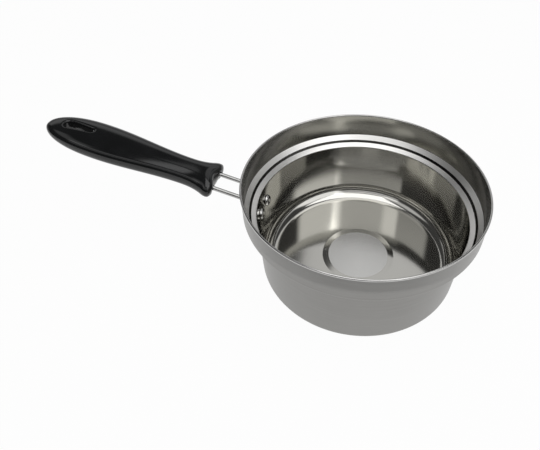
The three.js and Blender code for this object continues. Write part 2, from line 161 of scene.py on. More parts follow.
class Bench:
    """A node tree under construction."""

    def __init__(self, tree: NodeTree) -> None:
        """Holds the tree."""
        self.tree = tree

    @classmethod
    def of(cls, owner: Material | World) -> Bench:
        """Empties the tree of a material or a world.

        Args:
            owner: the material or world.

        Returns:
            The tree's bench.
        """
        owner.use_nodes = True
        owner.node_tree.nodes.clear()
        return cls(owner.node_tree)

    @staticmethod
    def _socket(sockets: Sequence[NodeSocket], key: Key) -> NodeSocket:
        """The socket with that index, or the shown one with that name."""
        shown = (s for s in sockets if s.name == key and s.enabled)
        return sockets[key] if isinstance(key, int) else next(shown)

    def made(self, kind: str, inputs: dict[Key, Any] | None = None, **settings: Any) -> Node:
        """Adds a node.

        Args:
            kind: Blender's name of the node's type.
            inputs: values or wires for its sockets, by index or name.
            settings: the node's own properties, which are set first.

        Returns:
            The node.
        """
        made = self.tree.nodes.new(kind)
        for name, value in settings.items():
            setattr(made, name, value)
        for key, value in (inputs or {}).items():
            socket = self._socket(made.inputs, key)
            if isinstance(value, Wire):
                self.tree.links.new(value.socket, socket)
            else:
                socket.default_value = value
        return made

    def node(self, kind: str, inputs: dict[Key, Any] | None = None, out: Key = 0, **settings: Any) -> Wire:
        """One output of a new node, by index or name."""
        return Wire(self, self._socket(self.made(kind, inputs, **settings).outputs, out))

    def math(self, operation: str, *terms: Term) -> Wire:
        """Math node."""
        return self.node("ShaderNodeMath", dict(enumerate(terms)), operation=operation)

    def vector_math(self, operation: str, *terms: Term, out: Key = 0) -> Wire:
        """Vector Math node."""
        return self.node("ShaderNodeVectorMath", dict(enumerate(terms)), out, operation=operation)

    def mix(self, factor: Term, first: Term, second: Term) -> Wire:
        """Colour between a first one at factor 0 and a second one at 1."""
        return self.node("ShaderNodeMix", {0: factor, 6: first, 7: second}, 2, data_type="RGBA")

    def noise(
        self, place: Sequence[Wire], scales: Triple, detail: float = 3.0, roughness: float = 0.55
    ) -> Wire:
        """Fractal noise.

        Args:
            place: three coordinates.
            scales: what each of them is multiplied by.
            detail: number of octaves.
            roughness: weight of the finer octaves.

        Returns:
            A value in 0 to 1.
        """
        vector = self.vector(*(axis * scale for axis, scale in zip(place, scales)))
        inputs = {"Vector": vector, "Scale": 1.0, "Detail": detail, "Roughness": roughness}
        return self.node("ShaderNodeTexNoise", inputs, noise_dimensions="3D")

    def vector(self, x: Term, y: Term, z: Term) -> Wire:
        """Vector from three values."""
        return self.node("ShaderNodeCombineXYZ", {0: x, 1: y, 2: z})

    def split(self, vector: Wire) -> list[Wire]:
        """Three values from a vector."""
        return [Wire(self, part) for part in self.made("ShaderNodeSeparateXYZ", {0: vector}).outputs]

    def position(self) -> list[Wire]:
        """Object coordinates in a shader."""
        return self.split(self.node("ShaderNodeTexCoord", out="Object"))

    def attribute(self, name: str) -> Wire:
        """Value of a mesh attribute in a shader."""
        return self.node("ShaderNodeAttribute", out="Fac", attribute_name=name)

    def named(self, name: str, kind: str = "FLOAT") -> Wire:
        """Mesh attribute in a geometry tree."""
        return self.node("GeometryNodeInputNamedAttribute", {"Name": name}, data_type=kind)

    def bump(self, height: Wire) -> Wire:
        """Normal that a height in millimetres gives."""
        return self.node("ShaderNodeBump", {"Height": height, "Strength": 1.0, "Distance": MM})

    def sink(self, kind: str, result: Wire) -> None:
        """Links a result to a new output node."""
        self.made(kind, {0: result})


@dataclass(frozen=True)
class Finish:
    """A surface finish; each kind wires its own detail.

    Attributes:
        name: the material's name.
        colour: base colour, linear.
        roughness: middle of the roughness.
        spread: half of the roughness's range.
    """

    name: str
    colour: Triple
    roughness: float
    spread: float

    def material(self) -> Material:
        """Makes the material.

        Returns:
            A material with a Principled shader and this finish's detail.
        """
        made = bpy.data.materials.new(self.name)
        bench = Bench.of(made)
        colour, rough, height = self.detail(bench)
        changing = {"Base Color": colour, "Roughness": rough, "Normal": bench.bump(height)}
        shader = bench.node("ShaderNodeBsdfPrincipled", {**self.constants(), **changing})
        bench.sink("ShaderNodeOutputMaterial", shader)
        return made

    def constants(self) -> dict[Key, Any]:
        """Values that are the same all over the surface."""
        return {"Metallic": 1.0}

    def detail(self, bench: Bench) -> tuple[Wire, Wire, Wire]:
        """Colour, roughness and height, which change over the surface."""
        raise NotImplementedError

    def tone(self, scale: float) -> tuple[float, ...]:
        """The colour made lighter or darker."""
        return (*(min(1.0, c * scale) for c in self.colour), 1.0)

    def rough(self, pattern: Wire, more: Wire) -> Wire:
        """Roughness that follows a pattern in 0 to 1, with more added."""
        return (pattern - 0.5) * (2.0 * self.spread) + more + self.roughness


@dataclass(frozen=True)
class SpunSteel(Finish):
    """Steel with lines round the pan's axis, from the attribute `along` that runs down the profile.

    Attributes:
        line_depth: strength of the lines' bump.
        wave_depth: strength of the sheet's slow waviness.
        anisotropy: stretch of the reflection across the lines.
        contrast: how much lines and smudges change the colour.
        fine, coarse, smudges, waves: scales of the patterns, per metre.
        fine_share, line_share: weight of the fine lines in all, and of all lines in the colour.
    """

    line_depth: float
    wave_depth: float
    anisotropy: float
    contrast: float
    fine: Triple = (26.0, 26.0, 5200.0)
    coarse: Triple = (12.0, 12.0, 820.0)
    smudges: Triple = (38.0, 38.0, 38.0)
    waves: Triple = (16.0, 16.0, 22.0)
    fine_share: float = 0.6
    line_share: float = 0.7

    def constants(self) -> dict[Key, Any]:
        """Bare metal with a stretched reflection."""
        return {"Metallic": 1.0, "Anisotropic": self.anisotropy, "Anisotropic Rotation": 0.25}

    def detail(self, bench: Bench) -> tuple[Wire, Wire, Wire]:
        """Fine and coarse lines, smudges and a slow wave of the drawn sheet.

        Args:
            bench: the material's bench.

        Returns:
            Colour, roughness and height.
        """
        x, y, z = bench.position()
        along = bench.attribute("along")
        fine = bench.noise((x, y, along), self.fine, detail=4.0, roughness=0.7)
        coarse = bench.noise((x, y, along), self.coarse)
        smudge = bench.noise((x, y, z), self.smudges, detail=4.0)
        wave = bench.noise((x, y, z), self.waves, detail=1.0)
        lines = fine * self.fine_share + coarse * (1.0 - self.fine_share)
        rough = self.rough(lines, (smudge - 0.5) * self.spread)
        shade = (lines * self.line_share + smudge * (1.0 - self.line_share)).step(0.25, 0.75)
        colour = bench.mix(shade, self.tone(1.0 - self.contrast), self.tone(1.0 + self.contrast))
        height = lines * self.line_depth + wave * self.wave_depth
        return colour, rough, height


@dataclass(frozen=True)
class DrawnSteel(Finish):
    """Bright drawn wire or a formed fastener, with faint marks.

    Attributes:
        mark_depth: strength of the marks' bump.
        mark_scale: scale of the marks across the piece, per metre.
        mark_run: their scale along it.
        smudge_scale: scale of the smudges, per metre.
        dark, light: range of the colour.
    """

    mark_depth: float = 0.002
    mark_scale: float = 420.0
    mark_run: float = 90.0
    smudge_scale: float = 120.0
    dark: float = 0.93
    light: float = 1.04

    def detail(self, bench: Bench) -> tuple[Wire, Wire, Wire]:
        """Faint forming marks and handling smudges.

        Args:
            bench: the material's bench.

        Returns:
            Colour, roughness and height.
        """
        place = bench.position()
        marks = bench.noise(place, (self.mark_run, self.mark_scale, self.mark_scale))
        smudge = bench.noise(place, (self.smudge_scale,) * 3)
        rough = self.rough(smudge, (marks - 0.5) * self.spread)
        colour = bench.mix(smudge.step(0.3, 0.7), self.tone(self.dark), self.tone(self.light))
        return colour, rough, marks * self.mark_depth


@dataclass(frozen=True)
class MouldedPhenolic(Finish):
    """Glossy black moulding with a faint flow texture and a parting line at mid height.

    Attributes:
        line_width, line_depth, line_rough: the parting line, and the roughness that it adds.
        flow_depth, flow_scale: the flow texture, and its scale per metre.
        rubs: scale of the rubbed patches, per metre.
        dark, light: range of the colour.
    """

    line_width: float = 0.12
    line_depth: float = 0.05
    line_rough: float = 0.12
    flow_depth: float = 0.0016
    flow_scale: float = 420.0
    rubs: Triple = (45.0, 70.0, 70.0)
    dark: float = 0.85
    light: float = 1.3

    def constants(self) -> dict[Key, Any]:
        """A hard plastic, not metal."""
        return {"Metallic": 0.0, "IOR": 1.5, "Specular IOR Level": 0.52}

    def detail(self, bench: Bench) -> tuple[Wire, Wire, Wire]:
        """Flow texture, rubbed patches and the parting line, from the attribute `mould_height`.

        Args:
            bench: the material's bench.

        Returns:
            Colour, roughness and height.
        """
        place = bench.position()
        flow = bench.noise(place, (self.flow_scale,) * 3, detail=2.0)
        rubbed = bench.noise(place, self.rubs, detail=4.0)
        parting = 1.0 - abs(bench.attribute("mould_height")).step(0.0, self.line_width)
        rough = self.rough(rubbed, parting * self.line_rough)
        colour = bench.mix(rubbed.step(0.3, 0.75), self.tone(self.dark), self.tone(self.light))
        height = flow * self.flow_depth + parting * self.line_depth
        return colour, rough, height


class Finishes:
    """The object's materials, made once."""

    def __init__(self) -> None:
        """Makes every finish."""
        # Colour, roughness, its spread, line depth, wave depth, anisotropy and contrast.
        spun = {
            Zone.INSIDE: ("polished_inside", (0.575, 0.568, 0.537), 0.1, 0.02, 0.0001, 0.012, 0.5, 0.03),
            # Outside: a satin finish, in a colour darker than the sheet's steel, which is painted shade.
            Zone.OUTSIDE: ("satin_outside_painted_shade", (0.28, 0.276, 0.266), 0.36, 0.07, 0.014, 0.0, 0.5, 0.12),
            # Ledge: a satin finish, in a colour lighter than the sheet's steel, which is painted light on the
            # upward faces.
            Zone.LEDGE: ("satin_ledge_painted_light", (0.9, 0.89, 0.87), 0.38, 0.05, 0.001, 0.0, 0.4, 0.06),
            # Disc: a brushed finish, in a colour lighter than the sheet's steel, which is painted light from
            # above.
            Zone.DISC: ("brushed_disc_painted_light", (0.72, 0.716, 0.7), 0.26, 0.04, 0.0012, 0.0, 0.3, 0.03),
            # Collar: a buffed finish, in a colour darker than the sheet's steel, which is painted shade, a dark
            # reflection.
            Zone.COLLAR: ("buffed_collar_painted_shade", (0.32, 0.315, 0.288), 0.17, 0.02, 0.0001, 0.012, 0.5, 0.05),
            # Step: a near-black colour, which is painted shade in the crease between the two ledges.
            Zone.STEP: ("painted_shade_step", (0.05, 0.049, 0.046), 0.24, 0.05, 0.001, 0.0, 0.3, 0.05),
            Zone.BEAD: ("polished_bead", (0.56, 0.555, 0.545), 0.12, 0.02, 0.0003, 0.0, 0.3, 0.03),
        }
        self.shell = {zone: SpunSteel(*values).material() for zone, values in spun.items()}
        # Rod: drawn steel, in a colour darker than the rivets', which is painted shade for dark reflections
        # along the wire.
        self.rod = DrawnSteel("bright_rod_painted_shade", (0.42, 0.418, 0.41), 0.09, 0.03).material()
        self.rivet = DrawnSteel("bright_rivet", (0.66, 0.655, 0.64), 0.12, 0.04, mark_scale=300.0).material()
        self.zinc = DrawnSteel("dull_zinc", (0.42, 0.42, 0.41), 0.38, 0.08, mark_depth=0.01).material()
        self.phenolic = MouldedPhenolic("black_phenolic", (0.009, 0.0095, 0.01), 0.11, 0.03).material()


def placed(name: str, data: ID) -> Object:
    """Puts a new object in the scene.

    Args:
        name: its name.
        data: its mesh, lamp or camera.

    Returns:
        The object.
    """
    made = bpy.data.objects.new(name, data)
    bpy.context.scene.collection.objects.link(made)
    return made


def keep(name: str, mesh: Mesh, slot: Slot, *nodes: str) -> None:
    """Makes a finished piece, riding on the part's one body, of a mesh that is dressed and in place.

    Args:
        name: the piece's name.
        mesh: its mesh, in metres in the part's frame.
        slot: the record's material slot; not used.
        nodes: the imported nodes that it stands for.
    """
    mesh.name = name
    piece = placed(name, mesh)
    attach(piece, BODY)
    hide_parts(*nodes)
    LOG.info("piece %s: %d faces, stands for %s", name, len(mesh.polygons), ", ".join(nodes))


def plain_mesh(name: str, points: Sequence[Sequence[float]], edges: list, faces: list) -> Mesh:
    """Makes a mesh.

    Args:
        name: its name.
        points: places in millimetres.
        edges: pairs of points.
        faces: rings of points.

    Returns:
        The mesh, in metres.
    """
    mesh = bpy.data.meshes.new(name)
    mesh.from_pydata([tuple(p) for p in np.asarray(points, float) * MM], edges, faces)
    return mesh


def line_mesh(name: str, points: Array, **values: Array) -> Mesh:
    """Mesh of a line of points, with attributes.

    Args:
        name: the mesh's name.
        points: places in millimetres, in order.
        values: attributes on the points: one number or one vector each.

    Returns:
        The mesh, in metres.
    """
    mesh = plain_mesh(name, points, [(i, i + 1) for i in range(len(points) - 1)], [])
    for key, value in values.items():
        vectors = np.ndim(value) == 2
        made = mesh.attributes.new(key, "FLOAT_VECTOR" if vectors else "FLOAT", "POINT")
        made.data.foreach_set("vector" if vectors else "value", np.asarray(value, np.float32).ravel())
    return mesh


def settled(host: Object) -> Mesh:
    """Turns what an object's modifiers make into a plain mesh, and removes them and the object.

    Args:
        host: the object.

    Returns:
        The mesh.
    """
    graph = bpy.context.evaluated_depsgraph_get()
    shape = host.evaluated_get(graph)
    mesh = bpy.data.meshes.new_from_object(shape, preserve_all_data_layers=True, depsgraph=graph)
    host.modifiers.clear()
    bpy.data.objects.remove(host)
    return mesh


def grown(seed: Mesh, tree: NodeTree, **values: Any) -> Mesh:
    """Runs a geometry tree on a seed mesh.

    Args:
        seed: mesh that the tree starts from.
        tree: the geometry tree.
        values: the tree's inputs by name.

    Returns:
        The result as a plain mesh with its faces pointing outwards.
    """
    host = placed(seed.name + "_host", seed)
    modifier = host.modifiers.new("grow", "NODES")
    modifier.node_group = tree
    for item in tree.interface.items_tree:
        if item.in_out == "INPUT" and item.name in values:
            modifier[item.identifier] = values[item.name]
    mesh = settled(host)
    outwards(mesh)
    return mesh


def outwards(mesh: Mesh) -> None:
    """Points a closed mesh's faces outwards and shades it smooth.

    Args:
        mesh: the mesh, which is changed.
    """
    shaped = bmesh.new()
    shaped.from_mesh(mesh)
    bmesh.ops.recalc_face_normals(shaped, faces=shaped.faces)
    for face in shaped.faces:
        face.smooth = True
    shaped.to_mesh(mesh)
    shaped.free()


class Trees:
    """Geometry trees that the pieces share."""

    def __init__(self) -> None:
        """Builds the trees."""
        self.turned = self._turned()
        self.pressed = self._pressed()

    @staticmethod
    def _open(name: str, **sockets: str) -> tuple[Bench, dict[str, Wire]]:
        """Starts a geometry tree.

        Args:
            name: the tree's name.
            sockets: types of its inputs after the geometry, by name.

        Returns:
            The bench, and the inputs by name.
        """
        tree = bpy.data.node_groups.new(name, "GeometryNodeTree")
        for label, kind in {"Geometry": "Geometry", **sockets}.items():
            tree.interface.new_socket(label, in_out="INPUT", socket_type=f"NodeSocket{kind}")
        tree.interface.new_socket("Geometry", in_out="OUTPUT", socket_type="NodeSocketGeometry")
        bench = Bench(tree)
        return bench, {s.name: Wire(bench, s) for s in bench.made("NodeGroupInput").outputs if s.name}

    @staticmethod
    def _close(bench: Bench, given: dict[str, Wire], shape: Wire, spot: Wire) -> NodeTree:
        """Moves the points to their places and ends the tree in Realize Instances and Set Material.

        Args:
            bench: the tree's bench.
            given: the tree's inputs.
            shape: the geometry.
            spot: place of each of its points.

        Returns:
            The tree.
        """
        moved = bench.node("GeometryNodeSetPosition", {"Geometry": shape, "Position": spot})
        welded = bench.node("GeometryNodeMergeByDistance", {"Geometry": moved, "Distance": given["Weld"]})
        real = bench.node("GeometryNodeRealizeInstances", {"Geometry": welded})
        dressed = bench.node("GeometryNodeSetMaterial", {"Geometry": real, "Material": given["Finish"]})
        bench.sink("NodeGroupOutput", dressed)
        return bench.tree

    def _turned(self) -> NodeTree:
        """Makes the tree that turns a profile line, in the XZ plane, about Z.

        Returns:
            The tree.
        """
        bench, given = self._open("turned_piece", Facets="Int", Rows="Int", Weld="Float", Finish="Material")
        sizes = {"Size X": 1.0, "Size Y": 1.0, "Vertices X": given["Facets"] + 1, "Vertices Y": given["Rows"]}
        grid = bench.node("GeometryNodeMeshGrid", sizes)
        across, up, _ = bench.split(bench.node("GeometryNodeInputPosition"))
        row = ((up + 0.5) * (given["Rows"] - 1)).math("ROUND")
        turn = (across + 0.5) * TURN

        def sampled(value: Wire, kind: str) -> Wire:
            """Value at the profile's point in this row."""
            inputs = {"Geometry": given["Geometry"], "Value": value, "Index": row}
            return bench.node("GeometryNodeSampleIndex", inputs, data_type=kind, domain="POINT")

        radius, _, height = bench.split(sampled(bench.node("GeometryNodeInputPosition"), "FLOAT_VECTOR"))
        spot = bench.vector(radius * turn.math("COSINE"), radius * turn.math("SINE"), height)
        stored = {"Geometry": grid, "Name": "along", "Value": sampled(bench.named("along"), "FLOAT")}
        kept = bench.node("GeometryNodeStoreNamedAttribute", stored, data_type="FLOAT", domain="POINT")
        return self._close(bench, given, kept, spot)

    def _pressed(self) -> NodeTree:
        """Makes the tree that sweeps a section along a route, pressed as the route's attributes say.

        Returns:
            The tree.
        """
        bench, given = self._open("pressed_rod", Facets="Int", Weld="Float", Side="Vector", Finish="Material")
        route = bench.node("GeometryNodeMeshToCurve", {"Mesh": given["Geometry"]})
        ring = bench.node("GeometryNodeCurvePrimitiveCircle", {"Resolution": given["Facets"], "Radius": MM})
        parts = {"Curve": route, "Profile Curve": ring, "Fill Caps": True}
        swept = bench.node("GeometryNodeCurveToMesh", parts)
        middle, out = bench.named("middle", "FLOAT_VECTOR"), bench.named("out", "FLOAT_VECTOR")
        offset = bench.vector_math("SUBTRACT", bench.node("GeometryNodeInputPosition"), middle)
        power = bench.named("edge")
        spot = middle
        for way, size in ((given["Side"], bench.named("half_wide")), (out, bench.named("half_thick"))):
            share = bench.vector_math("DOT_PRODUCT", offset, way, out="Value") / MM
            reach = share.math("SIGN") * abs(share) ** power * size
            scaled = bench.node("ShaderNodeVectorMath", {0: way, "Scale": reach}, operation="SCALE")
            spot = bench.vector_math("ADD", spot, scaled)
        return self._close(bench, given, swept, spot)

    def turn(self, name: str, rows: Array, facets: int, finish: Material) -> Mesh:
        """Turns a profile about Z.

        Args:
            name: the profile's name.
            rows: radius, height and distance along the profile of each of its points.
            facets: faces in a ring.
            finish: the material.

        Returns:
            The mesh, with the distance as the attribute `along`, in metres.
        """
        points = np.column_stack([rows[:, 0], np.zeros(len(rows)), rows[:, 1]])
        seed = line_mesh(name, points, along=rows[:, 2] * MM)
        return grown(seed, self.turned, Facets=facets, Rows=len(rows), Weld=WELD, Finish=finish)


def unit(vector: Sequence[float]) -> Array:
    """The vector at length 1."""
    made = np.asarray(vector, float)
    return made / np.linalg.norm(made)


def eased(share: Array) -> Array:
    """Smooth change from 0 to 1 as a share, cut off at these, does so."""
    share = np.clip(share, 0.0, 1.0)
    return share * share * (3.0 - 2.0 * share)


def arc(centre: Sequence[float], radius: float, start: float, end: float, steps: int) -> Array:
    """Points of an arc in a plane, both ends included, angles in radians."""
    angles = np.linspace(start, end, steps + 1)
    return np.stack([centre[0] + radius * np.cos(angles), centre[1] + radius * np.sin(angles)], 1)


@dataclass
class Bend:
    """One corner of a sheet's line and its bend radius."""

    x: float
    y: float
    radius: float = 0.0


def bent_line(bends: Sequence[Bend], step: float = 6.0, guard: float = 0.12) -> tuple[Array, Array]:
    """Line through corners, each rounded to its bend radius.

    Args:
        bends: the corners in order.
        step: largest turn between two points of a bend, in degrees.
        guard: distance of the extra point on the straight at each end of a bend.

    Returns:
        The points and their left-hand normals.
    """
    corners = np.array([(bend.x, bend.y) for bend in bends])
    ways = [unit(way) for way in np.diff(corners, axis=0)]
    lefts = [np.array((-way[1], way[0])) for way in ways]
    points, normals = [corners[0]], [lefts[0]]
    for bend, corner, into, out, left in zip(bends[1:], corners[1:], ways, ways[1:], lefts):
        turn = math.atan2(into[0] * out[1] - into[1] * out[0], into @ out)
        side = math.copysign(1.0, turn)
        reach = bend.radius * math.tan(abs(turn) / 2)
        start = corner - into * reach
        centre = start + left * side * bend.radius
        points.append(start - into * guard)
        normals.append(left)
        steps = max(2, math.ceil(math.degrees(abs(turn)) / step))
        for k in range(steps + 1):
            swing = turn * k / steps
            c, s = math.cos(swing), math.sin(swing)
            normal = np.array((c * left[0] - s * left[1], s * left[0] + c * left[1]))
            points.append(centre - normal * side * bend.radius)
            normals.append(normal)
        points.append(corner + out * (reach + guard))
        normals.append(normals[-1])
    return np.array([*points, corners[-1]]), np.array([*normals, lefts[-1]])


@dataclass
class PotShell:
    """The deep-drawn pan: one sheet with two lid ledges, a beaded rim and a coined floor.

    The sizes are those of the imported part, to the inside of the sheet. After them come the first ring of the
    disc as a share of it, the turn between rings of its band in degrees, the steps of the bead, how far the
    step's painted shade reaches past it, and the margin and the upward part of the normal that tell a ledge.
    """

    collar_diameter: float = 180.0
    height: float = 81.5
    sheet: float = 0.8
    collar_depth: float = 20.2
    upper_ledge: float = 3.8
    upper_fall: float = 3.9
    step_lean: float = 1.2
    step_depth: float = 1.5
    lower_ledge: float = 4.2
    lower_fall: float = 2.3
    wall_draft: float = 2.9
    corner_bend: float = 12.0
    base_edge: float = 4.8
    ledge_bend: float = 1.2
    collar_flare: float = 0.2
    rim_roll: float = 0.45
    disc_radius: float = 24.8
    disc_band: float = 5.0
    disc_lift: float = 0.4
    disc_bend: float = 7.0
    disc_hub: float = 0.02
    band_turn: float = 0.6
    bead_steps: int = 26
    step_blend: float = 0.38
    ledge_margin: float = 1.0
    ledge_slope: float = 0.65
    facets: int = 288

    def __post_init__(self) -> None:
        """Works out the inside radii and the heights that follow from the sizes."""
        self.collar_radius = self.collar_diameter / 2
        self.collar_foot_z = self.height - self.collar_depth
        self.step_top = (self.collar_radius - self.upper_ledge, self.collar_foot_z - self.upper_fall)
        self.step_foot = (self.step_top[0] - self.step_lean, self.step_top[1] - self.step_depth)
        self.wall_radius = self.step_foot[0] - self.lower_ledge
        self.wall_top_z = self.step_foot[1] - self.lower_fall
        self.bead_radius = self.sheet / 2 + self.rim_roll
        bead_at = self.collar_radius + self.sheet / 2 + self.rim_roll / 2
        self.bead_middle = (bead_at, self.height - self.bead_radius)
        self.rim_radius = bead_at + self.bead_radius

    def _bead(self) -> Array:
        """Round of the rim from the collar's inside to its outside.

        Returns:
            Radius and height of each point.
        """
        widths = (self.sheet + self.rim_roll, self.sheet - self.rim_roll)
        inner, outer = (math.acos(width / 2 / self.bead_radius) for width in widths)
        return arc(self.bead_middle, self.bead_radius, math.pi + inner, -outer, self.bead_steps)

    def profile(self) -> tuple[Array, list[tuple[float, Zone]]]:
        """Profile of the whole sheet, from the floor's middle over the rim to the base's middle.

        Returns:
            Radius, height and distance along it of each point, and the distance at which each zone ends.
        """
        base_radius = self.wall_radius - self.wall_draft
        wide, tight = self.ledge_bend + self.sheet / 2, self.ledge_bend - self.sheet / 2
        disc_z = self.sheet + self.disc_lift
        band = [
            Bend(self.disc_radius * self.disc_hub, disc_z),
            Bend(self.disc_radius, disc_z, self.disc_bend),
            Bend(self.disc_radius + self.disc_band, self.sheet, self.disc_bend),
            Bend(self.disc_radius + self.disc_band * 1.5, self.sheet),
        ]
        floor, _ = bent_line(band, step=self.band_turn)
        wall = [
            Bend(self.disc_radius + self.disc_band * 2, self.sheet),
            Bend(base_radius, self.sheet, self.corner_bend),
            Bend(self.wall_radius, self.wall_top_z, wide),
            Bend(*self.step_foot, tight),
            Bend(*self.step_top, wide),
            Bend(self.collar_radius - self.collar_flare, self.collar_foot_z, tight),
            Bend(self.collar_radius, self.bead_middle[1]),
        ]
        inner, _ = bent_line(wall)
        wall[1] = Bend(base_radius, self.sheet, self.base_edge - self.sheet)
        edge, normal = bent_line(wall)
        outer = (edge - normal * self.sheet)[::-1]
        bead = self._bead()
        inside = np.concatenate([[(0.0, disc_z)], floor, inner[:-1]])
        rows = np.concatenate([inside, bead, outer[1:], [(0.0, 0.0)]])
        lengths = np.concatenate([[0.0], np.cumsum(np.linalg.norm(np.diff(rows, axis=0), axis=1))])
        ends = [
            (lengths[np.argmax(rows[:, 0] >= self.disc_radius)], Zone.DISC),
            (lengths[len(inside)], Zone.INSIDE),
            (lengths[len(inside) + len(bead) - 1], Zone.BEAD),
            (math.inf, Zone.OUTSIDE),
        ]
        return np.column_stack([rows, lengths]), ends

    def _zone_inside(self, height: float, slope: float) -> Zone:
        """Zone of a face on the inside above the disc.

        Args:
            height: height of the face's middle in millimetres.
            slope: upward part of its normal.

        Returns:
            Wall and floor, ledge, step or collar.
        """
        if height < self.wall_top_z - self.ledge_margin:
            return Zone.INSIDE
        if self.step_foot[1] - self.step_blend <= height <= self.step_top[1] + self.step_blend:
            return Zone.STEP
        if slope > self.ledge_slope and height < self.collar_foot_z:
            return Zone.LEDGE
        return Zone.COLLAR if height > self.step_top[1] else Zone.INSIDE

    def build(self, trees: Trees, finishes: Finishes) -> None:
        """Turns the profile and dresses its zones.

        Args:
            trees: the shared geometry trees.
            finishes: the object's materials.
        """
        rows, ends = self.profile()
        mesh = trees.turn("pot_profile", rows, self.facets, finishes.shell[Zone.INSIDE])
        mesh.materials.clear()
        for zone in Zone:
            mesh.materials.append(finishes.shell[zone])
        along = np.zeros(len(mesh.vertices), np.float32)
        mesh.attributes["along"].data.foreach_get("value", along)
        for face in mesh.polygons:
            middle = float(np.mean(along[list(face.vertices)])) / MM
            zone = next(zone for end, zone in ends if middle < end)
            if zone is Zone.INSIDE:
                zone = self._zone_inside(face.center.z / MM, face.normal.z)
            face.material_index = zone.value
        keep("pot_shell", mesh, Slot.SATIN_STEEL, "pot_body")


@dataclass
class Handle:
    """Rivets and rods on the pan's wall, and the frame of the grip that they carry.

    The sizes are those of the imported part. After them come the least half width of the eye's tip, the height
    on the wall from which the rod is less pressed, the angle of a sharp edge, and the counts of steps.
    """

    shell: PotShell
    gap: float = 0.3
    rivet_drop: float = 13.1
    shank_radius: float = 2.0
    head_radius: float = 4.5
    head_height: float = 2.6
    tail_radius: float = 3.4
    tail_height: float = 1.5
    rivet_edge: float = 0.35
    rod_diameter: float = 3.5
    rod_spacing: float = 16.9
    rod_bend: float = 12.0
    step_clearance: float = 1.06
    eye_radius: float = 5.0
    eye_thickness: float = 1.8
    eye_neck: float = 9.0
    rise: float = math.radians(14.8)
    standoff: float = 26.5
    socket_depth: float = 46.0
    eye_tip: float = 0.02
    press_from: float = 2.0
    sharp_angle: float = math.radians(50)
    head_steps: int = 16
    tail_steps: int = 10
    eye_steps: int = 14
    wall_steps: int = 26
    bend_steps: int = 22
    run_steps: int = 10
    rod_facets: int = 32
    rivet_facets: int = 56

    def __post_init__(self) -> None:
        """Works out the places that follow from the sizes."""
        shell = self.shell
        self.rod_radius = self.rod_diameter / 2
        self.rivet_z = shell.wall_top_z - shell.sheet - self.rivet_drop
        widening = shell.wall_draft / (shell.wall_top_z - shell.sheet)
        self.tilt = math.atan(widening)
        wall_top = shell.wall_radius + shell.sheet / math.cos(self.tilt)
        self.wall_outer = wall_top + widening * (self.rivet_z - shell.wall_top_z)
        axis_radius = self.wall_outer + self.gap + self.rod_radius
        self.azimuth = math.asin(self.rod_spacing / 2 / axis_radius)
        self.outward = np.array((math.cos(self.rise), math.sin(self.rise)))
        self.upward = np.array((-self.outward[1], self.outward[0]))
        self.foot = np.array((axis_radius * math.cos(self.azimuth), self.rivet_z))
        self.up_wall = unit((widening / math.cos(self.azimuth), 1.0))
        self.off_wall = np.array((self.up_wall[1], -self.up_wall[0]))
        corner = np.array((shell.step_foot[0] + shell.sheet, shell.wall_top_z))
        clearance = self.rod_bend + self.rod_radius + self.step_clearance
        reach = corner - self.foot - self.off_wall * self.rod_bend
        self.climb = reach @ self.up_wall - math.sqrt(clearance**2 - (reach @ self.off_wall) ** 2)
        self.bend_middle = self.foot + self.up_wall * self.climb + self.off_wall * self.rod_bend
        self.bend_end = self.bend_middle + self.upward * self.rod_bend
        run = (shell.rim_radius + self.standoff - self.bend_end[0]) / self.outward[0]
        self.grip_front = self.bend_end + self.outward * run

    def grip_frame(self) -> Matrix:
        """Places the grip's frame: +X out along the grip, +Z up from the rods' plane.

        Returns:
            Its matrix, in metres.
        """
        c, s = self.outward
        turn = Matrix(((-c, 0.0, s), (0.0, -1.0, 0.0), (s, 0.0, c))).to_4x4()
        place = Vector((-self.grip_front[0], 0.0, self.grip_front[1])) * MM
        return Matrix.Translation(place) @ turn

    def wall_frame(self, side: Side) -> Matrix:
        """Places the frame on the wall at a rivet: +Z out of the wall, +Y up along it.

        Args:
            side: which rivet.

        Returns:
            Its matrix, in metres.
        """
        azimuth = math.pi + side.value * self.azimuth
        radial = Vector((math.cos(azimuth), math.sin(azimuth), 0.0))
        up = Vector((0.0, 0.0, 1.0))
        along = up * math.cos(self.tilt) + radial * math.sin(self.tilt)
        out = radial * math.cos(self.tilt) - up * math.sin(self.tilt)
        turn = Matrix((along.cross(out), along, out)).transposed().to_4x4()
        return Matrix.Translation((radial * self.wall_outer + up * self.rivet_z) * MM) @ turn

    def rivet_profile(self) -> Array:
        """Profile of a rivet in its wall frame, from the head's crown to the tail's crown.

        Returns:
            Radius, height and number of each point.
        """
        inner, edge = self.shell.wall_radius, self.rivet_edge
        hollow = inner - math.sqrt(inner**2 - self.head_radius**2)
        seat = -self.shell.sheet - self.gap - hollow
        tail_seat = self.eye_thickness + 2 * self.gap
        head, tail = (self.head_radius, self.head_height), (self.tail_radius, self.tail_height)
        dome = arc((0.0, 0.0), 1.0, -QUARTER, 0.0, self.head_steps) * head + (0.0, seat)
        crown = arc((0.0, 0.0), 1.0, 0.0, QUARTER, self.tail_steps) * tail + (0.0, tail_seat)
        dome[0, 0] = crown[-1, 0] = 0.0
        shank = [
            (self.head_radius - edge, seat),
            (self.shank_radius + edge, seat),
            (self.shank_radius, seat + edge),
            (self.shank_radius, tail_seat - edge),
            (self.shank_radius + edge, tail_seat),
            (self.tail_radius - edge, tail_seat),
        ]
        rows = np.concatenate([dome, shank, crown])
        return np.column_stack([rows, np.arange(len(rows), dtype=float)])

